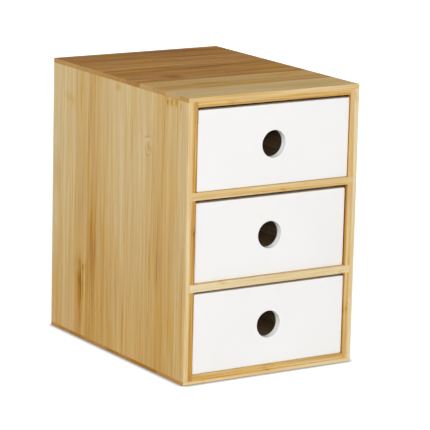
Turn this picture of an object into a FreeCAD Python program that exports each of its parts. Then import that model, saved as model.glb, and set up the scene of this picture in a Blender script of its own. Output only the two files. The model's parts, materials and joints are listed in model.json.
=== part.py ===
import FreeCAD, Part
import os
import re
import Sketcher

# Desktop mini drawers: a carcass of laminated boards with three drawers set into its front.
# Millimetres, +Z up, the front towards -Y, the origin in the middle of the footprint.

# The driving dimensions: alias, value, what it measures
SIZES = (
    ("height", 259.2, "carcass, floor to top"),
    ("width", 181, "carcass, side to side"),
    ("depth", 242, "carcass, front edges to back"),
    ("side_board", 9.3, "side panel thickness, two plies"),
    ("outer_ply", 4.5, "side panel's outer ply, past the ends of the shelves"),
    ("top_board", 9, "top panel thickness, two plies"),
    ("bottom_board", 8.7, "bottom panel thickness, two plies"),
    ("top_ply", 4, "top panel's outer ply, over the ends of the sides"),
    ("bottom_ply", 3.2, "bottom panel's outer ply, under the ends of the sides"),
    ("shelf_board", 7, "shelf thickness"),
    ("back_board", 3, "back panel thickness"),
    ("arris", 0.5, "rounding of the carcass's outer edges"),
    ("front_board", 7, "drawer front thickness"),
    ("front_gap_above", 2.5, "drawer front to the board over it"),
    ("front_gap_below", 0.2, "drawer front to the board under it"),
    ("front_gap_beside", 0.5, "drawer front to each side panel"),
    ("top_trim_above", 0.4, "trimmed off the top edge of the top drawer's front"),
    ("top_trim_left", 1.1, "trimmed off the left end of the top drawer's front"),
    ("middle_trim_above", 1, "trimmed off the top edge of the middle drawer's front"),
    ("lower_trim_right", 0.25, "trimmed off the right ends of the two lower drawers' fronts"),
    ("front_corner", 1.2, "rounding of the drawer front's four corners"),
    ("front_arris", 0.4, "rounding of the drawer front's face edges"),
    ("front_overhang", 1.2, "drawer front past the box behind it, each side"),
    ("front_rebate", 4, "depth of the rebates that the drawer sides sit in"),
    ("finger_hole", 25, "finger hole diameter"),
    ("hole_raised", 0.3, "finger hole's centre above the middle of the front"),
    ("hole_arris", 0.4, "rounding of the finger hole's rim"),
    ("box_side", 6, "drawer side thickness"),
    ("box_gap_above", 5.5, "drawer side to the board over it"),
    ("box_back", 6, "drawer back thickness"),
    ("box_bottom", 3, "drawer bottom thickness"),
    ("groove_depth", 3, "groove for the drawer bottom, into the board"),
    ("groove_height", 4, "lower edge of a drawer side to its groove"),
    ("runner_gap", 0.2, "drawer side to the board that it slides on"),
    ("rear_gap", 0.5, "closed drawer to the back panel"),
    ("closed_recess", 3.4, "closed drawer's face behind the carcass's front"),
    ("top_pulled", 1.9, "top drawer, pulled this far from closed"),
    ("bottom_pulled", 1.95, "bottom drawer, pulled this far from closed"),
    ("brad", 1.2, "brad shank diameter"),
    ("brad_length", 15, "brad length, head included"),
    ("brad_head", 2.2, "brad head diameter"),
    ("brad_head_depth", 0.6, "brad head thickness"),
    ("brad_fit", 0.05, "wood to brad, all round"),
    ("overrun", 1, "how far a cut runs past the face that it opens"),
)

# Two places nearer than this are the same place
SAME_PLACE = 0.001

# Shares of a board's length at which brads are set
BRAD_HEIGHT_SHARES = (0.3, 0.8)
BRAD_ACROSS_SHARES = (-0.25, 0.25)

# Sums of the sizes that several pieces share
HALF_WIDTH = "width / 2"
INNER_FACE = "(width / 2 - side_board)"
PLY_LINE = "(width / 2 - outer_ply)"
FRONT = "-depth / 2"
BACK = "depth / 2"
BACK_PANEL_FACE = "(depth / 2 - back_board)"
OPENING = "((height - top_board - bottom_board - 2 * shelf_board) / 3)"
FRONT_HALF = f"({INNER_FACE} - front_gap_beside)"
BOX_HALF = f"({FRONT_HALF} - front_overhang)"
BOX_INNER_HALF = f"({BOX_HALF} - box_side)"
BOX_HIGH = f"({OPENING} - box_gap_above - runner_gap)"
BOX_LENGTH = "(depth - back_board - closed_recess - rear_gap)"
FRONT_LOW = "(front_gap_below - runner_gap)"
FRONT_HIGH = f"({OPENING} - front_gap_above - runner_gap)"
BOTTOM_TOP = "(groove_height + box_bottom)"

# The drawers from the lowest opening up: how far the face of each is set back, and what is trimmed
# off its front above, at the left and at the right
DRAWERS = (
    ("bottom_drawer", "closed_recess - bottom_pulled", ("0", "0", "lower_trim_right")),
    ("middle_drawer", "closed_recess", ("middle_trim_above", "0", "lower_trim_right")),
    ("top_drawer", "closed_recess - top_pulled", ("top_trim_above", "top_trim_left", "0")),
)

# The shelves from the lowest up, each the floor of the opening over it
SHELVES = ("lower_shelf", "upper_shelf")

# Each axis: the origin plane across it, and a minus where that plane's normal points against it
PLANES = {"X": ("YZ_Plane", ""), "Y": ("XZ_Plane", "-"), "Z": ("XY_Plane", "")}
DIRECTIONS = {"X": FreeCAD.Vector(1, 0, 0), "Y": FreeCAD.Vector(0, 1, 0), "Z": FreeCAD.Vector(0, 0, 1)}

doc = FreeCAD.newDocument("mini_drawers")
sheet = doc.addObject("Spreadsheet::Sheet", "sizes")
for row, (alias, size, meaning) in enumerate(SIZES, 1):
    sheet.set(f"A{row}", meaning)
    sheet.set(f"B{row}", str(size))
    sheet.setAlias(f"B{row}", alias)
doc.recompute()


def bound(words):
    """A sum of size names as an expression on the sheet."""
    return re.sub(r"[a-z]\w*", r"sizes.\g<0>", words)


def value(words):
    """What a sum of size names comes to now."""
    return float(sheet.evalExpression(bound(words)))


def mirrored(hand, near, far):
    """A stretch from near to far of the middle plane, on the right or on the left."""
    if hand == "right":
        return near, far
    return f"-{far}", f"-{near}"


def low_first(one, other):
    """Two sums, the lower one first."""
    return (one, other) if value(one) < value(other) else (other, one)


def opening_floor(level):
    """Height of the board under an opening, with the openings counted from the lowest, zero."""
    return f"(bottom_board + {level} * ({OPENING} + shelf_board))"


# Sketches on a body's own origin planes

def sketch_across(body, axis, start):
    """An empty sketch square to an axis, at a place along it."""
    role, sign = PLANES[axis]
    plane = next(f for f in body.Origin.OriginFeatures if f.Role == role)
    sketch = body.newObject("Sketcher::SketchObject", f"{body.Name}_sketch")
    sketch.AttachmentSupport = [(plane, "")]
    sketch.MapMode = "FlatFace"
    sketch.setExpression("AttachmentOffset.Base.z", bound(f"{sign}({start})"))
    return sketch


def hold(sketch, kind, line, end, words):
    """Hold the end of a line, or a circle's centre, at a distance from the sketch's origin."""
    number = sketch.addConstraint(Sketcher.Constraint(kind, -1, 1, line, end, value(words)))
    sketch.setExpression(f"Constraints[{number}]", bound(words))


def add_rectangle(sketch, across, up):
    """A closed rectangle whose four sides stand where the sums say."""
    left, right = (value(words) for words in across)
    low, high = (value(words) for words in up)
    places = ((left, low), (right, low), (right, high), (left, high))
    corners = [FreeCAD.Vector(x, y, 0) for x, y in places]
    lines = [sketch.addGeometry(Part.LineSegment(corners[n - 1], corners[n])) for n in range(len(corners))]
    for n, line in enumerate(lines):
        sketch.addConstraint(Sketcher.Constraint("Coincident", lines[n - 1], 2, line, 1))
        sketch.addConstraint(Sketcher.Constraint("Horizontal" if n % 2 else "Vertical", line))
    hold(sketch, "DistanceX", lines[0], 2, across[0])
    hold(sketch, "DistanceY", lines[0], 2, up[0])
    hold(sketch, "DistanceX", lines[2], 2, across[1])
    hold(sketch, "DistanceY", lines[2], 2, up[1])


def add_circle(sketch, centre, diameter):
    """A circle about a point given by two sums."""
    middle = FreeCAD.Vector(value(centre[0]), value(centre[1]), 0)
    circle = sketch.addGeometry(Part.Circle(middle, FreeCAD.Vector(0, 0, 1), value(diameter) / 2))
    hold(sketch, "DistanceX", circle, 3, centre[0])
    hold(sketch, "DistanceY", circle, 3, centre[1])
    number = sketch.addConstraint(Sketcher.Constraint("Diameter", circle, value(diameter)))
    sketch.setExpression(f"Constraints[{number}]", bound(diameter))


# Work on a board

def board(name, across, along, up):
    """A rectangular board: its stretches along X, Y and Z."""
    body = doc.addObject("PartDesign::Body", name)
    body.Label = name
    sketch = sketch_across(body, "Y", along[0])
    add_rectangle(sketch, across, up)
    pad = body.newObject("PartDesign::Pad", f"{name}_pad")
    pad.Profile = sketch
    pad.Reversed = True
    pad.setExpression("Length", bound(f"{along[1]} - ({along[0]})"))
    return body


def pocket(body, sketch, along_normal, depth):
    """Cut a sketch into a body, with or against the sketch's normal, and see that it took wood away."""
    doc.recompute()
    before = body.Shape.Volume
    cut = body.newObject("PartDesign::Pocket", f"{body.Name}_pocket")
    cut.Profile = sketch
    cut.Reversed = along_normal
    cut.setExpression("Length", bound(depth))
    doc.recompute()
    if body.Shape.Volume >= before:
        raise RuntimeError(f"{cut.Name} cuts nothing")


def plough(body, across, along, up):
    """Cut a square channel, such as a housing, rebate or groove."""
    sketch = sketch_across(body, "Y", along[0])
    add_rectangle(sketch, across, up)
    pocket(body, sketch, False, f"{along[1]} - ({along[0]})")


def drill(body, axis, start, towards, centres, diameter, depth):
    """Drill round holes along an axis from a place on it, towards +1 or -1."""
    sketch = sketch_across(body, axis, start)
    for centre in centres:
        add_circle(sketch, centre, diameter)
    normal = -1 if PLANES[axis][1] else 1
    pocket(body, sketch, towards == normal, depth)


def ease(body, radius, chosen):
    """Round the edges of a body that a test picks."""
    doc.recompute()
    tip = body.Tip
    names = [f"Edge{n}" for n, edge in enumerate(tip.Shape.Edges, 1) if chosen(edge)]
    fillet = body.newObject("PartDesign::Fillet", f"{body.Name}_fillet")
    fillet.Base = (tip, names)
    fillet.setExpression("Radius", bound(radius))


def lies_at(edge, axis, *places):
    """Whether the whole of an edge lies at one of these places along an axis."""
    low = getattr(edge.BoundBox, f"{axis}Min")
    high = getattr(edge.BoundBox, f"{axis}Max")
    if high - low > SAME_PLACE:
        return False
    return any(abs(low - value(place)) < SAME_PLACE for place in places)


def is_upright_corner(edge):
    """The carcass's outer corners, seen from above."""
    return lies_at(edge, "X", HALF_WIDTH, f"-{HALF_WIDTH}") and lies_at(edge, "Y", FRONT, BACK)


# Brads

def rod(axis, start, towards, centre, diameter, length):
    """A round rod along an axis, from a place on it."""
    piece = doc.addObject("Part::Cylinder", "rod")
    turn = FreeCAD.Rotation(DIRECTIONS["Z"], DIRECTIONS[axis] * towards)
    piece.Placement = FreeCAD.Placement(FreeCAD.Vector(), turn)
    piece.setExpression("Radius", bound(f"{diameter} / 2"))
    piece.setExpression("Height", bound(length))
    place = list(centre)
    place.insert("XYZ".index(axis), start)
    for letter, words in zip("xyz", place):
        piece.setExpression(f"Placement.Base.{letter}", bound(words))
    return piece


def nail(rods, outer, inner, through, axis, start, towards, centres):
    """Nail one board to another: sunk holes in the outer, holes in the inner, and a brad in each."""
    hole = "brad + 2 * brad_fit"
    drill(outer, axis, start, towards, centres, "brad_head + 2 * brad_fit", "brad_head_depth")
    drill(outer, axis, start, towards, centres, hole, f"{through} + overrun")
    joint = f"{start} + {towards} * {through}"
    drill(inner, axis, joint, towards, centres, hole, f"brad_length - {through}")
    for centre in centres:
        rods.append(rod(axis, start, towards, centre, "brad_head", "brad_head_depth"))
        rods.append(rod(axis, start, towards, centre, "brad", "brad_length"))


def brads(name, rods):
    """All the brads of one assembly, as separate solids of one group."""
    group = doc.addObject("Part::MultiFuse", name)
    group.Label = name
    group.Shapes = rods
    return group


# The carcass

def side_panel(hand):
    """A side: two plies, the inner one cut away for the shelf ends and the back panel."""
    side = board(f"{hand}_side_panel", mirrored(hand, INNER_FACE, HALF_WIDTH), (FRONT, BACK),
                 ("bottom_ply", "height - top_ply"))
    ease(side, "arris", is_upright_corner)
    inner_ply = mirrored(hand, f"({INNER_FACE} - overrun)", PLY_LINE)
    for level, _ in enumerate(SHELVES, 1):
        shelf_top = opening_floor(level)
        plough(side, inner_ply, (f"{FRONT} - overrun", f"{BACK} + overrun"),
               (f"{shelf_top} - shelf_board", shelf_top))
    plough(side, inner_ply, (BACK_PANEL_FACE, f"{BACK} + overrun"),
           ("bottom_ply - overrun", "height - top_ply + overrun"))
    return side


def end_panel(name, outer_face, inward, thickness, lap):
    """The top or the bottom: rebated so that its outer ply laps the ends of the sides and the back."""
    inner_face = f"{outer_face} + {inward} * {thickness}"
    panel = board(name, (f"-{HALF_WIDTH}", HALF_WIDTH), (FRONT, BACK), low_first(outer_face, inner_face))
    ease(panel, "arris", lambda edge: is_upright_corner(edge) or lies_at(edge, "Z", outer_face))
    inner_ply = low_first(f"{outer_face} + {inward} * {lap}", f"{inner_face} + {inward} * overrun")
    for hand in ("left", "right"):
        plough(panel, mirrored(hand, INNER_FACE, f"({HALF_WIDTH} + overrun)"),
               (f"{FRONT} - overrun", f"{BACK} + overrun"), inner_ply)
    plough(panel, (f"-{HALF_WIDTH} - overrun", f"{HALF_WIDTH} + overrun"),
           (BACK_PANEL_FACE, f"{BACK} + overrun"), inner_ply)
    return panel


def shelf(name, level):
    """A shelf, its ends in the sides' housings and its back edge against the back panel."""
    top = opening_floor(level)
    return board(name, (f"-{PLY_LINE}", PLY_LINE), (FRONT, BACK_PANEL_FACE), (f"{top} - shelf_board", top))


def carcass():
    """The six boards and the thin back that closes them."""
    sides = [side_panel(hand) for hand in ("left", "right")]
    top = end_panel("top_panel", "height", -1, "top_board", "top_ply")
    bottom = end_panel("bottom_panel", "0", 1, "bottom_board", "bottom_ply")
    shelves = [shelf(name, level) for level, name in enumerate(SHELVES, 1)]
    back = board("back_panel", (f"-{PLY_LINE}", PLY_LINE), (BACK_PANEL_FACE, BACK),
                 ("bottom_ply", "height - top_ply"))

    rods = []
    openings = [f"({opening_floor(level)} + {OPENING} / 2)" for level in range(len(DRAWERS))]
    for side, sign in zip(sides, (-1, 1)):
        across = f"{sign} * ({INNER_FACE} + {PLY_LINE}) / 2"
        nail(rods, back, side, "back_board", "Y", BACK, -1, [(across, middle) for middle in openings])
    heights = [(top, "height - (top_board + top_ply) / 2"), (bottom, "(bottom_board + bottom_ply) / 2")]
    for level, piece in enumerate(shelves, 1):
        heights.append((piece, f"{opening_floor(level)} - shelf_board / 2"))
    for panel, height in heights:
        centres = [(f"{share} * 2 * {INNER_FACE}", height) for share in BRAD_ACROSS_SHARES]
        nail(rods, back, panel, "back_board", "Y", BACK, -1, centres)
    return [*sides, top, bottom, *shelves, back, brads("back_panel_brads", rods)]


# A drawer, its face at Y zero and the edges that it slides on at Z zero

def drawer_front(name, trims):
    """The front: a finger hole, rounded edges, rebates for the sides and a groove for the bottom."""
    above, left, right = trims
    ends = (f"({left} - {FRONT_HALF})", f"({FRONT_HALF} - {right})")
    low_and_high = (FRONT_LOW, f"({FRONT_HIGH} - {above})")
    front = board(name, ends, ("0", "front_board"), low_and_high)
    ease(front, "front_corner", lambda edge: lies_at(edge, "X", *ends) and lies_at(edge, "Z", *low_and_high))
    ease(front, "front_arris", lambda edge: lies_at(edge, "Y", "0"))
    centre = (f"({left} - {right}) / 2", f"({FRONT_LOW} + {FRONT_HIGH} - {above}) / 2 + hole_raised")
    drill(front, "Y", "0", 1, [centre], "finger_hole", "front_board + overrun")
    ease(front, "hole_arris", lambda edge: edge.isClosed() and lies_at(edge, "Y", "0"))
    for hand in ("left", "right"):
        plough(front, mirrored(hand, BOX_INNER_HALF, f"({FRONT_HALF} + overrun)"),
               ("front_board - front_rebate", "front_board + overrun"), ("-overrun", BOX_HIGH))
    plough(front, (f"-{BOX_INNER_HALF}", BOX_INNER_HALF),
           ("front_board - groove_depth", "front_board + overrun"), ("groove_height", BOTTOM_TOP))
    return front


def drawer_side(name, hand):
    """A side, from the front's rebate to the back, grooved for the bottom."""
    length = ("front_board - front_rebate", BOX_LENGTH)
    side = board(name, mirrored(hand, BOX_INNER_HALF, BOX_HALF), length, ("0", BOX_HIGH))
    plough(side, mirrored(hand, f"({BOX_INNER_HALF} - overrun)", f"({BOX_INNER_HALF} + groove_depth)"),
           (f"{length[0]} - overrun", f"{length[1]} + overrun"), ("groove_height", BOTTOM_TOP))
    return side


def drawer(name, level, recess, trims):
    """A drawer: its front, two sides, back, bottom and brads, set into its opening."""
    front = drawer_front(f"{name}_front", trims)
    sides = [drawer_side(f"{name}_{hand}_side", hand) for hand in ("left", "right")]
    back = board(f"{name}_back", (f"-{BOX_INNER_HALF}", BOX_INNER_HALF),
                 (f"{BOX_LENGTH} - box_back", BOX_LENGTH), (BOTTOM_TOP, BOX_HIGH))
    in_grooves = f"({BOX_INNER_HALF} + groove_depth)"
    bottom = board(f"{name}_bottom", (f"-{in_grooves}", in_grooves),
                   ("front_board - groove_depth", BOX_LENGTH), ("groove_height", BOTTOM_TOP))

    rods = []
    back_middle = f"({BOX_LENGTH} - box_back / 2)"
    for side, towards in zip(sides, (1, -1)):
        outside = f"{-towards} * {BOX_HALF}"
        for inner, along in ((front, "front_board - front_rebate / 2"), (back, back_middle)):
            centres = [(along, f"{share} * {BOX_HIGH}") for share in BRAD_HEIGHT_SHARES]
            nail(rods, side, inner, "box_side", "X", outside, towards, centres)
    centres = [(f"{share} * 2 * {BOX_HALF}", back_middle) for share in BRAD_ACROSS_SHARES]
    nail(rods, bottom, back, "box_bottom", "Z", "groove_height", 1, centres)

    pieces = [front, *sides, back, bottom, brads(f"{name}_brads", rods)]
    for piece in pieces:
        piece.setExpression("Placement.Base.y", bound(f"{FRONT} + {recess}"))
        piece.setExpression("Placement.Base.z", bound(f"{opening_floor(level)} + runner_gap"))
    return pieces


pieces = carcass()
for level, (name, recess, trims) in enumerate(DRAWERS):
    pieces += drawer(name, level, recess, trims)
doc.recompute()

# Nothing is written unless every object came out whole
failed = [item.Name for item in doc.Objects if {"Invalid", "Error"} & set(item.State)]
failed += [piece.Label for piece in pieces if piece.Shape.isNull() or not piece.Shape.isValid()]
if failed:
    raise RuntimeError(f"not whole: {failed}")

os.makedirs("parts", exist_ok=True)
for piece in pieces:
    piece.Shape.exportStep(f"parts/{piece.Label}.step")
    box = piece.Shape.BoundBox
    print(f"{piece.Label}: {len(piece.Shape.Solids)} solid(s), {piece.Shape.Volume / 1000:.1f} cm3,",
          f"{box.XLength:.1f} x {box.YLength:.1f} x {box.ZLength:.1f} mm")
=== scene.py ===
# %% [markdown]
# The object is a small desktop unit: a bamboo case with three drawers behind white lacquered
# fronts. Its boards, drawers and nails are packed already as CAD parts, and they are the frame
# of this notebook. They could be modelled again here, but a drawer that slides has to fit the
# case exactly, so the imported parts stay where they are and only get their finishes.

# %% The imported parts
import json
import math
import random

import bmesh
import bpy
from mathutils import Matrix, Vector

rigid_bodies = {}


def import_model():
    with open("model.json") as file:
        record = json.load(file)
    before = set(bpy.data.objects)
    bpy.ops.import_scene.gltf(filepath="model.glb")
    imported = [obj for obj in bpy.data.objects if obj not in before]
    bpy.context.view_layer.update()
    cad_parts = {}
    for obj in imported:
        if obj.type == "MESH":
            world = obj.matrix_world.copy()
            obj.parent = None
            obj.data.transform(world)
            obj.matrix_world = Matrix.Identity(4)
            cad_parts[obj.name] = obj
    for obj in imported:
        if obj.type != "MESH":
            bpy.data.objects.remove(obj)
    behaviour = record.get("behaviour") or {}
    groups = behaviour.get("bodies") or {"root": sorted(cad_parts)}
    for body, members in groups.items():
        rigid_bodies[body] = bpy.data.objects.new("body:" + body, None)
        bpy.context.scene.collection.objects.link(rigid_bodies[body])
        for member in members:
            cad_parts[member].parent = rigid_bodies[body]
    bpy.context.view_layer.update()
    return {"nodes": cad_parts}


for leftover in list(bpy.data.objects):
    bpy.data.objects.remove(leftover)
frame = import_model()
parts = frame["nodes"]

# %% [markdown]
# The photograph was taken from the left front, a little above the unit, with a long lens:
# its upright edges hardly converge. A camera can be fitted by eye, but here the corners of the
# case were measured in the picture and the place, aim and roll solved from their real sizes.

# %% The camera
CAMERA_PLACE = Vector((-1.29722, -2.05188, 0.65784))
CAMERA_AIM = Vector((0.0, -0.0254, 0.1278))
CAMERA_ROLL = math.radians(1.38)
LENS = 223.13
SENSOR = 36.0


def place_camera(place, aim, roll, lens):
    data = bpy.data.cameras.new("camera")
    data.sensor_width, data.lens = SENSOR, lens
    data.clip_start, data.clip_end = 0.05, 200.0
    camera = bpy.data.objects.new("camera", data)
    bpy.context.scene.collection.objects.link(camera)
    turn = (aim - place).to_track_quat("-Z", "Y").to_matrix().to_4x4()
    camera.matrix_world = Matrix.Translation(place) @ turn @ Matrix.Rotation(roll, 4, "Z")
    bpy.context.scene.camera = camera
    return camera


camera = place_camera(CAMERA_PLACE, CAMERA_AIM, CAMERA_ROLL, LENS)
print("camera looks along", [round(x, 4) for x in -camera.matrix_world.col[2].xyz])
print("camera's right is", [round(x, 4) for x in camera.matrix_world.col[0].xyz])

# %% [markdown]
# A material is a small graph of nodes. Written out one call at a time it takes pages, so a few
# short helpers do the wiring. Each adds one node, links or fills its inputs and hands back its
# output, and the recipes below then read like sums.

# %% Helpers for node graphs
def plug(tree, target, value):
    """Links a node's output to an input, or writes a plain value into it."""
    if isinstance(value, bpy.types.NodeSocket):
        tree.links.new(value, target)
    else:
        target.default_value = value


def add(tree, kind, inputs=(), output=0, **settings):
    """Adds a node, fills its inputs from a dict and returns one of its outputs."""
    node = tree.nodes.new("ShaderNode" + kind)
    for name, setting in settings.items():
        setattr(node, name, setting)
    for key, value in dict(inputs).items():
        plug(tree, node.inputs[key], value)
    return node.outputs[output]


def calc(tree, operation, *values):
    """One step of arithmetic."""
    return add(tree, "Math", dict(enumerate(values)), operation=operation)


def fade(tree, value, start, end, low=0.0, high=1.0):
    """Goes smoothly from low to high as value goes from start to end."""
    rows = {0: value, 1: start, 2: end, 3: low, 4: high}
    return add(tree, "MapRange", rows, interpolation_type="SMOOTHSTEP")


# %% [markdown]
# The picture is a studio shot: soft light from the left front, a duller ceiling, and a white
# surround. A lamp on its own would leave black corners, so the world gives light from all
# round, more from the walls than from the ceiling. What the camera, a gloss or a glass sees of
# it is plain white, which lights nothing.

# %% The surround
WALL_LIGHT = 0.40
CEILING_LIGHT = 0.14
DAYLIGHT = (0.99, 0.995, 1.0, 1)


def seen_directly(tree):
    """1 for a ray from the camera, a gloss or a glass, and 0 for light that falls on things."""
    path = tree.nodes.new("ShaderNodeLightPath")
    camera_or_gloss = calc(tree, "MAXIMUM", path.outputs["Is Camera Ray"], path.outputs["Is Glossy Ray"])
    return calc(tree, "MAXIMUM", camera_or_gloss, path.outputs["Is Transmission Ray"])


def studio_surround():
    world = bpy.data.worlds.new("studio surround")
    world.use_nodes = True
    tree = world.node_tree
    tree.nodes.clear()
    direction = add(tree, "TexCoord", output="Generated")
    height = add(tree, "SeparateXYZ", {0: direction}, output="Z")
    strength = add(tree, "MapRange", {0: height, 1: 0.0, 2: 1.0, 3: WALL_LIGHT, 4: CEILING_LIGHT})
    light = add(tree, "Background", {"Color": DAYLIGHT, "Strength": strength})
    white = add(tree, "Background", {"Color": (1, 1, 1, 1), "Strength": 1.0})
    mixed = add(tree, "MixShader", {0: seen_directly(tree), 1: light, 2: white})
    surface = tree.nodes.new("ShaderNodeOutputWorld").inputs["Surface"]
    tree.links.new(mixed, surface)
    bpy.context.scene.world = world


studio_surround()
print("world light from", WALL_LIGHT, "at the walls to", CEILING_LIGHT, "overhead")

# %% [markdown]
# Softboxes are large glowing panels, a few metres off. The key stands behind the camera and a
# little above it, so it lights the drawer fronts and the left side about alike and hardly casts
# a shadow in the picture. Two weaker ones keep the right side and the back from going flat when
# the unit is turned round. A small hard lamp would be simpler, but it would draw a sharp edge
# under every board.

# %% The lamps
LAMPS = {
    "key softbox": ((-2.61, -4.02, 2.05), (2.6, 2.0), 222),
    "right softbox": ((4.4, 0.6, 1.1), (2.6, 2.0), 75),
    "back softbox": ((-0.4, 4.4, 1.2), (2.6, 2.0), 60),
}
LAMP_AIM = Vector((0, 0, 0.13))


def softbox(name, place, size, watts):
    data = bpy.data.lights.new(name, "AREA")
    data.shape = "RECTANGLE"
    data.size, data.size_y = size
    data.energy = watts
    lamp = bpy.data.objects.new(name, data)
    lamp.location = place
    lamp.rotation_euler = (LAMP_AIM - Vector(place)).to_track_quat("-Z", "Y").to_euler()
    lamp.visible_camera = False
    bpy.context.scene.collection.objects.link(lamp)


for name, (place, size, watts) in LAMPS.items():
    softbox(name, place, size, watts)
print(len(LAMPS), "softboxes,", sum(row[2] for row in LAMPS.values()), "watts")

# %% [markdown]
# The floor is a plain pale sheet that melts into the white surround, and shows a thin shadow
# where the unit stands. A pure white floor would need far more light than the unit does, so
# to the camera it glows by itself, and only the rest of its white comes from light that the
# unit can keep off it. Within a centimetre of the unit the glow sinks as well, which draws the
# thin grey line along the foot that the photograph has. Farther off it rises to full white, or
# a low view would show a grey band at the horizon. The light that bounces off the floor onto
# the unit comes from a plain pale one.

# %% The floor
FLOOR_HALF = 14.0
FLOOR_DROP = 0.0001
FLOOR_GLOW = 0.80
GLOW_RISE = (0.5, 1.8)  # metres from the unit between which the glow rises to full white
CONTACT_REACH = 0.007
CONTACT_OPEN = (0.5, 1.0)  # how open the floor is where the glow starts, and where it is whole
FLOOR_WHITE = (0.80, 0.80, 0.80, 1)
FLOOR_SHADED = (0.435, 0.465, 0.500, 1)


def studio_floor():
    shape = bmesh.new()
    bmesh.ops.create_grid(shape, x_segments=1, y_segments=1, size=FLOOR_HALF)
    bmesh.ops.translate(shape, vec=(0, 0, -FLOOR_DROP), verts=shape.verts)
    mesh = bpy.data.meshes.new("studio_floor")
    shape.to_mesh(mesh)
    shape.free()
    floor = bpy.data.objects.new("studio_floor", mesh)
    bpy.context.scene.collection.objects.link(floor)
    material = bpy.data.materials.new("studio floor")
    material.use_nodes = True
    tree = material.node_tree
    tree.nodes.clear()
    white = add(tree, "BsdfDiffuse", {"Color": FLOOR_WHITE})
    shaded = add(tree, "BsdfDiffuse", {"Color": FLOOR_SHADED})
    open_sky = add(tree, "AmbientOcclusion", {"Distance": CONTACT_REACH}, output="AO", samples=12)
    place = add(tree, "TexCoord", output="Object")
    away = add(tree, "VectorMath", {0: place}, output="Value", operation="LENGTH")
    farther = fade(tree, away, *GLOW_RISE, FLOOR_GLOW, 1.0)
    closed, clear = CONTACT_OPEN
    strength = add(tree, "MapRange", {0: open_sky, 1: closed, 2: clear, 3: 0.0, 4: farther})
    glow = add(tree, "Emission", {"Color": (1, 1, 1, 1), "Strength": strength})
    glowing = add(tree, "AddShader", {0: shaded, 1: glow})
    mixed = add(tree, "MixShader", {0: seen_directly(tree), 1: white, 2: glowing})
    surface = tree.nodes.new("ShaderNodeOutputMaterial").inputs["Surface"]
    tree.links.new(mixed, surface)
    mesh.materials.append(material)
    return floor


floor = studio_floor()
print("floor reaches", FLOOR_HALF, "m to each side")

# %% [markdown]
# Colours are easiest to pick as the 0 to 255 numbers of a picture, but shaders add light in
# linear numbers, so one helper turns the first into the second.

# %% Colours
def shade(red, green, blue):
    """A picture's 0 to 255 colour as the linear colour that a shader takes."""
    return tuple(
        c / 12.92 if c <= 0.04045 else ((c + 0.055) / 1.055) ** 2.4
        for c in (red / 255, green / 255, blue / 255)
    ) + (1.0,)


print("shade(128, 128, 128) is", [round(c, 3) for c in shade(128, 128, 128)])

# %% [markdown]
# The case is cut from bamboo board. Bamboo is a grass with a thin wall, so a board is glued up
# from many strips that were split and planed to one width, laid in two plies. Every strip
# comes from another stem and keeps its own tone, from straw to amber. An image of such a board
# would stop at its edges; here each strip is looked up by its number instead, so the pattern
# runs on through the thickness, and the edges show the same two plies as the real ones. All
# the wood recipes count in millimetres, as a joiner would.

# %% Strips by number
MM = 0.001
TO_MM = (1000, 1000, 1000)
STRIP_WIDTH = 22.6
BACK_EDGE = 121.0
BAMBOO_TONES = {
    -0.30: shade(108, 62, 20),
    0.00: shade(151, 97, 38),
    0.20: shade(183, 128, 55),
    0.40: shade(205, 158, 84),
    0.65: shade(219, 181, 115),
    1.00: shade(231, 208, 160),
    1.20: shade(235, 219, 182),
}


def ramp_of(tree, factor, stops, interpolation="LINEAR"):
    """A colour ramp from a dict of position to colour."""
    node = tree.nodes.new("ShaderNodeValToRGB")
    node.color_ramp.interpolation = interpolation
    elements = node.color_ramp.elements
    for _ in range(len(stops) - 2):
        elements.new(0.5)
    for element, (position, colour) in zip(elements, sorted(stops.items())):
        element.position, element.color = position, colour
    plug(tree, node.inputs[0], factor)
    return node.outputs[0]


def mix(tree, factor, low, high, kind="FLOAT"):
    """Two numbers or, with kind RGBA, two colours blended by a factor."""
    first = {"FLOAT": 2, "RGBA": 6}[kind]
    rows = {0: factor, first: low, first + 1: high}
    return add(tree, "Mix", rows, output={"FLOAT": 0, "RGBA": 2}[kind], data_type=kind)


def parts_of(tree, kind, value):
    """The separate outputs of a vector or a colour."""
    node = tree.nodes.new("ShaderNodeSeparate" + kind)
    plug(tree, node.inputs[0], value)
    return node.outputs


def strip_lookup(tree, number, rows):
    """Reads three numbers, none of them below 0, from the row with that number."""
    stops = {i / len(rows): (*row, 1.0) for i, row in enumerate(rows)}
    share = calc(tree, "DIVIDE", calc(tree, "ADD", number, 0.5), len(rows))
    return ramp_of(tree, share, stops, "CONSTANT")


print("a strip is", STRIP_WIDTH, "mm wide, and there are", len(BAMBOO_TONES), "tones")

# %% [markdown]
# Within a strip the fibres run dead straight: threads of 0.5 mm, hairs and streaks of 1 to 3 mm
# and bands of 8 mm, all many times longer than they are wide. Noise that is squeezed across the
# grain gives them all, and a few of the streaks are picked out as ochre lines. Where the stem
# had a joint, the strip has a knuckle: a patch of short dark brush strokes about a faint rim.
# It is made from the distance to the knuckle's height, which a noise bends, because a clean
# edge there looks like a moustache drawn on the wood.

# %% The figure of bamboo
FIBRES = {  # width, length, detail and bend of the noise, and its pull on the tone
    "threads": ((0.5, 26.0, 1.0, 0.0), 0.24),
    "hairs": ((1.2, 95.0, 1.5, 0.1), 0.78),
    "streaks": ((2.6, 150.0, 2.0, 0.15), 0.36),
    "bands": ((8.0, 260.0, 1.5, 0.2), 0.28),
    "clouds": ((20.0, 70.0, 1.5, 0.0), 0.20),
}
DASH_PULL, OCHRE_PULL, STROKE_PULL, RIM_PULL = -0.08, -0.10, -0.20, -0.10
BAMBOO_VALUE = 0.90  # the share of the picked tones' brightness that the lit board needs


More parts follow.
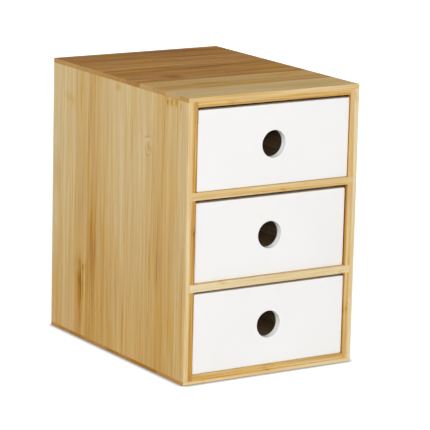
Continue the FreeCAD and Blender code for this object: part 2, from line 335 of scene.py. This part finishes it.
def grain(tree, place, width, length, detail=2.0, warp=0.0):
    """Noise drawn out along the grain, about width mm across and length mm along."""
    rows = {0: place, 1: (1 / width, 1 / length, 1 / width)}
    stretched = add(tree, "VectorMath", rows, operation="MULTIPLY")
    rows = {"Vector": stretched, "Scale": 1.0, "Detail": detail, "Distortion": warp}
    return add(tree, "TexNoise", rows, output="Fac")


def nudge(tree, tone, *pulls):
    """A tone that noises pull up and down, each by its own amount from end to end."""
    for noise, pull in pulls:
        centred = calc(tree, "SUBTRACT", noise, 0.5)
        tone = calc(tree, "MULTIPLY_ADD", centred, pull, tone)
    return tone


def group_of(name, inputs, outputs):
    """An empty node group with the given sockets, each a dict of name to kind."""
    tree = bpy.data.node_groups.new(name, "ShaderNodeTree")
    for direction, sockets in (("INPUT", inputs), ("OUTPUT", outputs)):
        for socket, kind in sockets.items():
            tree.interface.new_socket(name=socket, in_out=direction, socket_type="NodeSocket" + kind)
    given = tree.nodes.new("NodeGroupInput").outputs
    wanted = tree.nodes.new("NodeGroupOutput").inputs
    return tree, given, wanted


def bamboo_figure():
    """A node group with the colour and the relief of bamboo at a place, round a strip's tone."""
    tree, given, wanted = group_of(
        "bamboo figure",
        {"Place": "Vector", "Tone": "Float", "Shift": "Float", "Knuckle": "Float", "Life": "Float"},
        {"Colour": "Color", "Height": "Float"},
    )
    own = add(tree, "CombineXYZ", {1: calc(tree, "MULTIPLY", given["Shift"], 900.0),
                                   2: calc(tree, "MULTIPLY", given["Shift"], 57.0)})
    place = add(tree, "VectorMath", {0: given["Place"], 1: own}, operation="ADD")
    noises = {name: grain(tree, place, *shape) for name, (shape, _) in FIBRES.items()}
    dashes = fade(tree, grain(tree, place, 0.8, 15.0, 1.0), 0.60, 0.74)
    ochre = fade(tree, grain(tree, place, 1.8, 120.0, 1.0, 0.1), 0.56, 0.70)

    along = parts_of(tree, "XYZ", given["Place"])["Y"]
    offset = calc(tree, "SUBTRACT", along, given["Knuckle"])
    bent = nudge(tree, offset, (noises["bands"], 14.0), (noises["hairs"], 7.0))
    away = calc(tree, "ABSOLUTE", bent)
    strokes = calc(tree, "MULTIPLY", fade(tree, away, 1.0, 9.0, 1.0, 0.0),
                   fade(tree, grain(tree, place, 0.9, 7.0, 1.0), 0.42, 0.64))
    rim = calc(tree, "MULTIPLY", fade(tree, away, 0.0, 2.2, 1.0, 0.0),
               fade(tree, grain(tree, place, 2.0, 3.0, 1.0), 0.40, 0.60))

    tone = nudge(tree, 0.0, *((noises[name], pull) for name, (_, pull) in FIBRES.items()))
    for mark, pull in ((dashes, DASH_PULL), (ochre, OCHRE_PULL), (strokes, STROKE_PULL), (rim, RIM_PULL)):
        tone = calc(tree, "MULTIPLY_ADD", mark, pull, tone)
    tone = calc(tree, "MULTIPLY_ADD", tone, given["Life"], given["Tone"])
    lowest, highest = min(BAMBOO_TONES), max(BAMBOO_TONES)
    stops = {(key - lowest) / (highest - lowest): colour for key, colour in BAMBOO_TONES.items()}
    colour = ramp_of(tree, add(tree, "MapRange", {0: tone, 1: lowest, 2: highest}), stops)
    drift = grain(tree, place, 6.0, 90.0, 1.0)
    rows = {"Hue": nudge(tree, 0.5, (drift, 0.012)),
            "Saturation": nudge(tree, 1.0, (noises["clouds"], 0.26)),
            "Value": BAMBOO_VALUE, "Fac": 1.0, "Color": colour}
    plug(tree, wanted["Colour"], add(tree, "HueSaturation", rows))
    relief = calc(tree, "MULTIPLY_ADD", dashes, -0.5, noises["threads"])
    plug(tree, wanted["Height"], calc(tree, "MULTIPLY_ADD", strokes, -0.6, relief))
    return tree


BAMBOO_FIGURE = bamboo_figure()
print("the bamboo figure has", len(BAMBOO_FIGURE.nodes), "nodes")

# %% [markdown]
# A board is then a short description: which way its grain runs, where its two plies meet, and
# each ply's row of strips. A strip has its tone, a lean towards one edge, a knuckle, and a
# browner tone where it is cut across. The strips that show in the photograph get the tones
# that they have there, from the back edge to the front one. Those that don't are drawn from a
# seeded shuffle, so that every run is the same.

# %% A row of strips
def strip_row(seed, tones=(), leans=(), knuckles=None, ends=(), count=12):
    """Two lists of three, strip by strip: (tone, shift, knuckle + 1) and (lean + 1, end tone, 0)."""
    draw = random.Random(seed)
    look, cut = [], []
    for i in range(count):
        tone, shift, knuckle = draw.uniform(0.55, 0.95), draw.random(), draw.uniform(-0.6, 1.6)
        lean, end = draw.uniform(-0.10, 0.10), draw.uniform(0.22, 0.48)
        if tones:
            tone = tones[min(i, len(tones) - 1)]
        if leans:
            lean = leans[min(i, len(leans) - 1)]
        if ends:
            end = ends[min(i, len(ends) - 1)]
        if knuckles is not None:
            knuckle = knuckles.get(i, -1.0)
        look.append((tone, shift, knuckle + 1))
        cut.append((lean + 1, end, 0.0))
    return look, cut


print("tones of a board that isn't seen:", [round(row[0], 2) for row in strip_row(4)[0]])

# %% [markdown]
# The planed front and back edges cut each ply lengthwise, so an edge shows one even tone for
# each ply, which may drift from one end to the other. Which face a point lies on is read from
# its normal, and which ply from its depth in the board. A board could have a material for
# each of its faces, but one that reads its own place can't go wrong at a corner. The figure is
# livelier on an edge than on a face, and nearly still on a cut end, which also looks duller.

# %% A bamboo board
DULL_END = shade(118, 102, 108)
FACING = (0.6, 0.85)  # how squarely a face looks along an axis, from not at all to fully
PLY_BLUR, SEAM_PULL = 0.08, -0.22
EDGE_LIFE, END_LIFE = 1.4, 0.35
SHEEN = 0.05


def bamboo_board(name, grain_axis, ply_line, outer_is_high, outer, inner, edge_tones, joints, reach,
                 marks_and_shade=None, life=1.0, dulled=0.0):
    """The material of one board.

    outer and inner are the strip rows of the two plies, which meet at ply_line. edge_tones has
    the outer ply's tone at the start and the end of its edge, and the inner one's. joints says
    how far each ply's first joint lies from the back edge, and reach where the grain starts
    and ends.
    """
    material = bpy.data.materials.new(name)
    material.use_nodes = True
    tree = material.node_tree
    shader = tree.nodes["Principled BSDF"]
    depth_axis = "X" if grain_axis == "Z" else "Z"
    rows = {0: add(tree, "TexCoord", output="Object"), 1: TO_MM}
    where = parts_of(tree, "XYZ", add(tree, "VectorMath", rows, operation="MULTIPLY"))
    along, depth = where[grain_axis], where[depth_axis]
    from_back = calc(tree, "SUBTRACT", BACK_EDGE, where["Y"])
    place = add(tree, "CombineXYZ", {0: from_back, 1: along, 2: depth})
    faces = parts_of(tree, "XYZ", add(tree, "TexCoord", output="Normal"))
    is_end = fade(tree, calc(tree, "ABSOLUTE", faces[grain_axis]), *FACING)
    is_edge = fade(tree, calc(tree, "ABSOLUTE", faces["Y"]), *FACING)

    blur = PLY_BLUR if outer_is_high else -PLY_BLUR
    is_outer = fade(tree, depth, ply_line - blur, ply_line + blur)
    first_joint = mix(tree, is_outer, joints[1], joints[0])
    strips_in = calc(tree, "DIVIDE", calc(tree, "SUBTRACT", from_back, first_joint), STRIP_WIDTH)
    number = calc(tree, "ADD", calc(tree, "FLOOR", strips_in), 1.0)
    looked_up = []
    for low, high in zip(inner, outer):
        both = (strip_lookup(tree, number, rows) for rows in (low, high))
        looked_up += list(parts_of(tree, "Color", mix(tree, is_outer, *both, "RGBA")))
    tone, shift, knuckle, lean, end_tone, _ = looked_up

    low, high = reach
    knuckle = calc(tree, "MULTIPLY_ADD", knuckle, high - low, low - (high - low))
    across = calc(tree, "SUBTRACT", calc(tree, "FRACT", strips_in), 0.5)
    tone = calc(tree, "MULTIPLY_ADD", across, calc(tree, "MULTIPLY_ADD", lean, 2.0, -2.0), tone)
    seam_away = calc(tree, "MULTIPLY", calc(tree, "PINGPONG", strips_in, 0.5), STRIP_WIDTH)
    seam = calc(tree, "MULTIPLY", fade(tree, seam_away, 0.1, 0.5, 1.0, 0.0),
                fade(tree, grain(tree, place, 25.0, 25.0, 1.0), 0.42, 0.62))
    tone = calc(tree, "MULTIPLY_ADD", seam, SEAM_PULL, tone)
    # The optional function adds a board's own stains and marks and, on the two sides, painted shade.
    if marks_and_shade:
        tone = marks_and_shade(tree, tone, place)
    drifts = [add(tree, "MapRange", {0: along, 1: low, 2: high, 3: start, 4: end})
              for start, end in edge_tones]
    tone = mix(tree, is_edge, tone, mix(tree, is_outer, drifts[1], drifts[0]))
    tone = mix(tree, is_end, tone, end_tone)

    figure = tree.nodes.new("ShaderNodeGroup")
    figure.node_tree = BAMBOO_FIGURE
    own_life = mix(tree, is_end, mix(tree, is_edge, life, EDGE_LIFE), END_LIFE)
    for socket, value in (("Place", place), ("Tone", tone), ("Shift", shift), ("Knuckle", knuckle),
                          ("Life", own_life)):
        plug(tree, figure.inputs[socket], value)
    dullness = calc(tree, "MULTIPLY", is_end, dulled)
    colour = mix(tree, dullness, figure.outputs["Colour"], DULL_END, "RGBA")
    plug(tree, shader.inputs["Base Color"], colour)
    plug(tree, shader.inputs["Roughness"], fade(tree, figure.outputs["Height"], 0.2, 0.8, 0.74, 0.62))
    shader.inputs["Specular IOR Level"].default_value = SHEEN
    rows = {"Height": figure.outputs["Height"], "Strength": 0.35, "Distance": 0.06 * MM}
    plug(tree, shader.inputs["Normal"], add(tree, "Bump", rows))
    return material


def oval(tree, place, centre, half, soft=0.0):
    """1 inside a soft oval on a board's face, fading to 0 at its rim."""
    gap = add(tree, "VectorMath", {0: place, 1: (*centre, 0)}, operation="SUBTRACT")
    share = add(tree, "VectorMath", {0: gap, 1: (1 / half[0], 1 / half[1], 0)}, operation="MULTIPLY")
    away = add(tree, "VectorMath", {0: share}, output="Value", operation="LENGTH")
    return fade(tree, away, soft, 1.0, 1.0, 0.0)


def stain(tree, tone, place, marks):
    """Ovals that pull the tone down or up, brushed out along the grain."""
    brushed = fade(tree, grain(tree, place, 1.3, 34.0, 3.0), 0.32, 0.66, 0.25, 1.6)
    for centre, half, pull in marks:
        pulled = calc(tree, "MULTIPLY", oval(tree, place, centre, half), pull)
        tone = calc(tree, "MULTIPLY_ADD", pulled, brushed, tone)
    return tone


print("a cut end shows", END_LIFE, "of a face's figure, and an edge", EDGE_LIFE)

# %% [markdown]
# The left side is the board that the photograph shows best. Its strips stand upright, the third
# and fourth from the back are the darkest, and one of them has a knuckle low down with a dark
# streak running out of it. Painted shade makes the whole board darker and warmer towards its
# foot, as if the light fell from above. A bud once grew on the eighth strip and left a faint eye.
# Each mark is an oval: its place from the back edge and from the floor, its half width and half
# length, and its pull on the tone. Under the top board's lap a thin dark line marks the joint.

# %% The left side
LEFT_TONES = (0.92, 0.92, 0.75, 0.65, 0.78, 0.88, 0.86, 0.84, 0.72, 0.77, 0.89)
LEFT_LEANS = (-0.10, -0.02, 0.02, 0.03, 0.00, 0.05, 0.00, -0.06, -0.08, 0.03, -0.02)
LEFT_KNUCKLES = {2: 0.283, 1: 0.869, 9: 0.975}
LEFT_MARKS = (
    ((54.0, 53.0), (7.5, 30.0), -0.37),
    ((57.0, 51.0), (10.0, 46.0), -0.20),
    ((56.0, 29.0), (4.0, 34.0), -0.22),
    ((77.0, 91.0), (10.0, 66.0), -0.22),
    ((54.0, 233.0), (9.0, 38.0), -0.20),
    ((54.0, 150.0), (9.0, 36.0), 0.07),
    ((10.0, 148.0), (11.0, 42.0), -0.12),
    ((134.2, 33.0), (1.6, 34.0), -0.30),
    ((134.2, 129.0), (1.3, 34.0), -0.24),
    ((179.8, 97.0), (1.4, 52.0), -0.28),
    ((193.0, 111.0), (9.0, 66.0), -0.16),
    ((104.0, 79.0), (6.0, 60.0), -0.08),
    ((124.0, 76.0), (9.0, 58.0), -0.17),
    ((213.0, 24.0), (10.0, 30.0), 0.09),
    ((121.0, 250.0), (9.0, 6.0), -0.20),
    ((206.0, 250.5), (3.0, 6.0), -0.34),
    ((213.0, 251.0), (3.0, 6.5), -0.32),
    ((221.0, 251.5), (3.5, 6.0), -0.32),
    ((229.0, 249.5), (3.0, 7.0), -0.38),
    ((241.0, 221.0), (2.0, 34.0), -0.30),
    ((236.0, 80.0), (8.0, 78.0), -0.17),
)
EYE_PLACE, EYE_HALF = (174.0, 205.7), (6.6, 10.5)
UPRIGHT = (0.0, 259.2)
LAP_JOINT, JOINT_PULL = (254.5, 255.2), -0.35


def bud_eye(tree, tone, place):
    """A bud's scar: an uneven ring, dark without and pale within, round a darker slit."""
    wobble = grain(tree, place, 4.0, 7.0, 2.0)
    sway = add(tree, "CombineXYZ", {0: calc(tree, "MULTIPLY", calc(tree, "SUBTRACT", wobble, 0.5), 10.0)})
    bent = add(tree, "VectorMath", {0: place, 1: sway}, operation="ADD")
    rings = [oval(tree, bent, EYE_PLACE, (EYE_HALF[0] * share, EYE_HALF[1] * share), 0.75)
             for share in (1.0, 0.82, 0.60)]
    worn = fade(tree, grain(tree, place, 4.0, 5.0, 2.0), 0.40, 0.58, 0.15, 1.0)
    dark = calc(tree, "MULTIPLY", calc(tree, "SUBTRACT", rings[0], rings[1]), worn)
    pale = calc(tree, "SUBTRACT", rings[1], rings[2])
    crown = oval(tree, bent, (EYE_PLACE[0] - 0.5, EYE_PLACE[1] + 6.0), (3.0, 5.0), 0.1)
    slit = oval(tree, bent, (EYE_PLACE[0] + 2.0, EYE_PLACE[1] - 1.0), (1.6, 6.0), 0.2)
    for ring, pull in ((dark, -0.42), (pale, 0.12), (crown, 0.16), (slit, -0.22)):
        tone = calc(tree, "MULTIPLY_ADD", ring, pull, tone)
    return tone


def left_marks_and_painted_shade(tree, tone, place):
    along = parts_of(tree, "XYZ", place)["Y"]
    # Painted shade: the board darkens and warms towards its foot, as if lit from above.
    tone = calc(tree, "ADD", tone, fade(tree, along, 0.0, 230.0, -0.20, 0.0))
    tone = bud_eye(tree, stain(tree, tone, place, LEFT_MARKS), place)
    return calc(tree, "MULTIPLY_ADD", fade(tree, along, *LAP_JOINT), JOINT_PULL, tone)


left_bamboo = bamboo_board(
    "left side bamboo", "Z", -86.0, False, strip_row(11, LEFT_TONES, LEFT_LEANS, LEFT_KNUCKLES),
    strip_row(12), ((0.97, 0.86), (0.38, 0.36)), (21.2, 8.0), UPRIGHT, marks_and_shade=left_marks_and_painted_shade)
parts["left_side_panel"].material_slots[0].material = left_bamboo
print("left side:", len(LEFT_TONES), "strips,", len(LEFT_MARKS), "marks")

# %% [markdown]
# The right side isn't in the photograph apart from its front edge, whose inner ply is paler than
# the left one's. Its strips are shuffled from the same stock. On its inner face a dark line of
# painted shade runs up where the drawer fronts stand, standing in for the shadow in the narrow
# gap that the photograph shows beside each of them. Painted shade darkens it towards its foot too.

# %% The right side
RIGHT_INNER_TONES = (0.7, 0.6, 0.8, 0.65, 0.75, 0.6, 0.7, 0.55, 0.65, 0.6, 0.30)
# A dark line of painted shade for the narrow gap beside the drawer fronts.
GAP_SHADE_PLACE, GAP_SHADE_HALF, GAP_SHADE_PULL = (237.2, 130.0), (3.0, 900.0), -0.45


def right_painted_shade(tree, tone, place):
    where = parts_of(tree, "XYZ", place)
    # Painted shade: darker towards the foot.
    tone = calc(tree, "ADD", tone, fade(tree, where["Y"], 0.0, 230.0, -0.12, 0.0))
    # Painted shade in the gap beside the fronts, on the inner face only.
    gap_shade = oval(tree, place, GAP_SHADE_PLACE, GAP_SHADE_HALF)
    inner_pull = fade(tree, where["Z"], 84.0, 86.0, GAP_SHADE_PULL, 0.0)
    return calc(tree, "MULTIPLY_ADD", gap_shade, inner_pull, tone)


right_bamboo = bamboo_board(
    "right side bamboo", "Z", 86.0, True, strip_row(23), strip_row(27, RIGHT_INNER_TONES),
    ((0.88, 1.04), (0.66, 0.74)), (14.0, 19.0), UPRIGHT, marks_and_shade=right_painted_shade)
parts["right_side_panel"].material_slots[0].material = right_bamboo
print("right side:", len(right_bamboo.node_tree.nodes), "nodes")

# %% [markdown]
# The top board's strips lie crosswise, dark at the back and pale at the front edge. Its thin
# upper ply laps over the sides, so its strips end in the left and right faces, where the cut
# fibres soak up more lacquer and look browner. Its marks are placed from the back edge and
# from the middle of the unit.

# %% The level boards
TOP_TONES = (0.12, 0.19, 0.27, 0.29, 0.22, 0.25, 0.25, 0.58, 0.50, 0.76, 0.80)
TOP_LEANS = (0.0, 0.0, 0.0, 0.04, 0.0)
TOP_ENDS = (0.44, 0.50, 0.43, 0.41, 0.36, 0.36, 0.26, 0.58, 0.45, 0.64, 0.47)
TOP_MARKS = (
    ((140.0, -44.0), (20.0, 17.0), -0.26),
    ((148.0, -68.0), (7.0, 24.0), -0.14),
    ((103.0, 20.0), (9.0, 60.0), -0.12),
    ((180.0, -38.0), (4.0, 26.0), -0.16),
    ((199.0, -40.0), (4.0, 30.0), -0.20),
    ((92.0, -20.0), (3.0, 80.0), -0.14),
    ((12.0, 50.0), (12.0, 46.0), -0.09),
    ((146.0, 56.0), (9.0, 34.0), 0.09),
    ((169.0, 58.0), (10.0, 34.0), -0.12),
    ((234.0, 54.0), (9.0, 48.0), -0.14),
)
CROSSWISE = (-90.5, 90.5)
# The bottom board's cut ends show at the foot of the sides; their tones are partly their own and partly
# painted shade from the contact shadow there.
BOTTOM_ENDS_AND_FOOT_SHADE = (0.36, 0.28, 0.22, 0.31, 0.34, 0.22, 0.29, 0.20, 0.16, 0.34, 0.38)


def top_finish(tree, tone, place):
    return stain(tree, tone, place, TOP_MARKS)


top_bamboo = bamboo_board(
    "top bamboo", "X", 255.2, True, strip_row(31, TOP_TONES, TOP_LEANS, {}, TOP_ENDS), strip_row(32),
    ((0.72, 0.72), (0.68, 0.68)), (22.2, 10.0), CROSSWISE, marks_and_shade=top_finish, life=1.2, dulled=0.14)
bottom_bamboo = bamboo_board(
    "bottom bamboo", "X", 3.2, False, strip_row(41, ends=BOTTOM_ENDS_AND_FOOT_SHADE), strip_row(43),
    ((0.86, 0.90), (0.60, 0.60)), (15.0, 4.0), CROSSWISE)
upper_bamboo = bamboo_board(
    "upper shelf bamboo", "X", 170.8, True, strip_row(51), strip_row(53), ((0.80, 0.80), (0.80, 0.80)),
    (15.0, 4.0), CROSSWISE)
lower_bamboo = bamboo_board(
    "lower shelf bamboo", "X", 88.0, True, strip_row(61), strip_row(67), ((1.04, 1.04), (1.04, 1.04)),
    (9.0, 18.0), CROSSWISE)
for name, material in (("top_panel", top_bamboo), ("bottom_panel", bottom_bamboo),
                       ("upper_shelf", upper_bamboo), ("lower_shelf", lower_bamboo)):
    parts[name].material_slots[0].material = material
    print(name, "wears", material.name)

# %% [markdown]
# The drawer fronts are fibreboard, sprayed white. Sprayed lacquer is never quite flat: it
# dries with a faint orange peel, and its white drifts a little from place to place. A single
# flat white would do for a drawing, but it looks like paper when the light grazes it. So a
# fine noise goes into the bump, and a wide one moves the white and the gloss by a few
# hundredths. The ends and the walls of the finger holes are painted a shade whiter than the
# faces, which is painted light. The upper edges lie in a narrow slot, and painted shade greys
# them.

# %% The white lacquer
FACE_WHITES = {0.3: (0.822, 0.814, 0.802, 1), 0.7: (0.838, 0.831, 0.820, 1)}
# Painted light: the fronts' ends and the finger holes' walls are whiter than the faces, as if lit more.
PAINTED_LIGHT_WHITE = (0.965, 0.962, 0.955, 1)
# Painted shade: the grey of the fronts' upper edges in the slot under each board.
PAINTED_SHADE_WHITE = (0.70, 0.67, 0.63, 1)
DRAWER_PITCH = 0.08283
SLOT_SHADE_FROM = 0.070  # above the holes, and under each front's upper edge
FACE_ON = (0.55, 0.95)
GLOSS = (0.36, 0.44)


def white_lacquer():
    material = bpy.data.materials.new("white lacquer")
    material.use_nodes = True
    tree = material.node_tree
    shader = tree.nodes["Principled BSDF"]
    place = add(tree, "TexCoord", output="Object")
    drift = add(tree, "TexNoise", {"Vector": place, "Scale": 14.0, "Detail": 2.0}, output="Fac")
    peel = add(tree, "TexNoise", {"Vector": place, "Scale": 650.0, "Detail": 1.5}, output="Fac")
    face = ramp_of(tree, drift, FACE_WHITES)
    height = calc(tree, "MODULO", parts_of(tree, "XYZ", place)["Z"], DRAWER_PITCH)
    # The ends and hole walls get painted light, the upper edges above the holes painted shade.
    rim = mix(tree, calc(tree, "GREATER_THAN", height, SLOT_SHADE_FROM), PAINTED_LIGHT_WHITE, PAINTED_SHADE_WHITE, "RGBA")
    faces = parts_of(tree, "XYZ", add(tree, "TexCoord", output="Normal"))
    facing = calc(tree, "ABSOLUTE", faces["Y"])
    is_face = fade(tree, facing, *FACE_ON)
    plug(tree, shader.inputs["Base Color"], mix(tree, is_face, rim, face, "RGBA"))
    plug(tree, shader.inputs["Roughness"], fade(tree, drift, 0.3, 0.7, *GLOSS))
    bump = add(tree, "Bump", {"Height": peel, "Strength": 0.25, "Distance": 0.03 * MM})
    plug(tree, shader.inputs["Normal"], bump)
    return material


WHITE = white_lacquer()
fronts = [name for name in parts if name.endswith("_front")]
for name in fronts:
    parts[name].material_slots[0].material = WHITE
print("white lacquer on", ", ".join(fronts))

# %% [markdown]
# Behind the fronts the drawers are plain sanded wood, and their floors and the unit's back are
# thin plywood. Both show growth rings where the saw met them: bands that darken slowly and end
# sharply, bent by a noise as wide as the board. The same recipe serves for all four, with its
# grain turned to each board's length.

# %% Plain wood and thin ply
PALE_WOOD, DARK_WOOD = shade(228, 203, 166), shade(206, 174, 130)
PALE_PLY, DARK_PLY = shade(220, 192, 150), shade(194, 157, 108)


def plain_wood(name, grain_axis, dark, light, ring):
    """Sawn wood whose growth rings stand ring millimetres apart."""
    material = bpy.data.materials.new(name)
    material.use_nodes = True
    tree = material.node_tree
    shader = tree.nodes["Principled BSDF"]
    rows = {0: add(tree, "TexCoord", output="Object"), 1: TO_MM}
    where = parts_of(tree, "XYZ", add(tree, "VectorMath", rows, operation="MULTIPLY"))
    one, other = (where[axis] for axis in "XYZ" if axis != grain_axis)
    place = add(tree, "CombineXYZ", {0: one, 1: where[grain_axis], 2: other})
    wander = grain(tree, place, 26.0, 170.0, 2.0)
    rings = calc(tree, "DIVIDE", calc(tree, "ADD", one, other), ring)
    rings = calc(tree, "MULTIPLY_ADD", wander, 5.0, rings)
    late = fade(tree, calc(tree, "FRACT", rings), 0.2, 0.95)
    fibres = grain(tree, place, 0.6, 22.0, 2.0)
    tone = nudge(tree, calc(tree, "MULTIPLY", late, 0.36), (fibres, 0.4), (wander, 0.4))
    plug(tree, shader.inputs["Base Color"], ramp_of(tree, tone, {0.0: light, 0.8: dark}))
    plug(tree, shader.inputs["Roughness"], fade(tree, fibres, 0.3, 0.7, 0.76, 0.64))
    shader.inputs["Specular IOR Level"].default_value = 0.2
    bump = add(tree, "Bump", {"Height": fibres, "Strength": 0.3, "Distance": 0.08 * MM})
    plug(tree, shader.inputs["Normal"], bump)
    return material


BARE_WOODS = {
    "_side": plain_wood("drawer side wood", "Y", DARK_WOOD, PALE_WOOD, 5.0),
    "drawer_back": plain_wood("drawer back wood", "X", DARK_WOOD, PALE_WOOD, 5.0),
    "drawer_bottom": plain_wood("drawer floor ply", "Y", DARK_PLY, PALE_PLY, 9.0),
    "back_panel": plain_wood("back panel ply", "Z", DARK_PLY, PALE_PLY, 9.0),
}
for ending, material in BARE_WOODS.items():
    bare = [name for name in parts if name.endswith(ending)]
    for name in bare:
        parts[name].material_slots[0].material = material
    print(material.name, "on", len(bare), "parts")

# %% [markdown]
# The unit and its drawers are nailed with small brads. Drawn wire is bright, but a hammered head
# is scuffed, so a fine noise dulls it in spots. They are only seen at the back, and on a drawer
# that is pulled out.

# %% The brads
def brad_steel():
    material = bpy.data.materials.new("brad steel")
    material.use_nodes = True
    tree = material.node_tree
    shader = tree.nodes["Principled BSDF"]
    rows = {"Vector": add(tree, "TexCoord", output="Object"), "Scale": 2500.0, "Detail": 2.0}
    wear = add(tree, "TexNoise", rows, output="Fac")
    colour = ramp_of(tree, wear, {0.3: (0.42, 0.41, 0.40, 1), 0.7: (0.62, 0.61, 0.60, 1)})
    plug(tree, shader.inputs["Base Color"], colour)
    plug(tree, shader.inputs["Roughness"], fade(tree, wear, 0.3, 0.7, 0.3, 0.5))
    shader.inputs["Metallic"].default_value = 1.0
    return material


STEEL = brad_steel()
for name, part in parts.items():
    if name.endswith("_brads"):
        part.material_slots[0].material = STEEL
print("steel on the brads of", sum(name.endswith("_brads") for name in parts), "parts")

# %% [markdown]
# The last cell sets the plain view transform, so that colours render as they were picked.

# %% The finished unit
bpy.context.scene.view_settings.view_transform = "Standard"
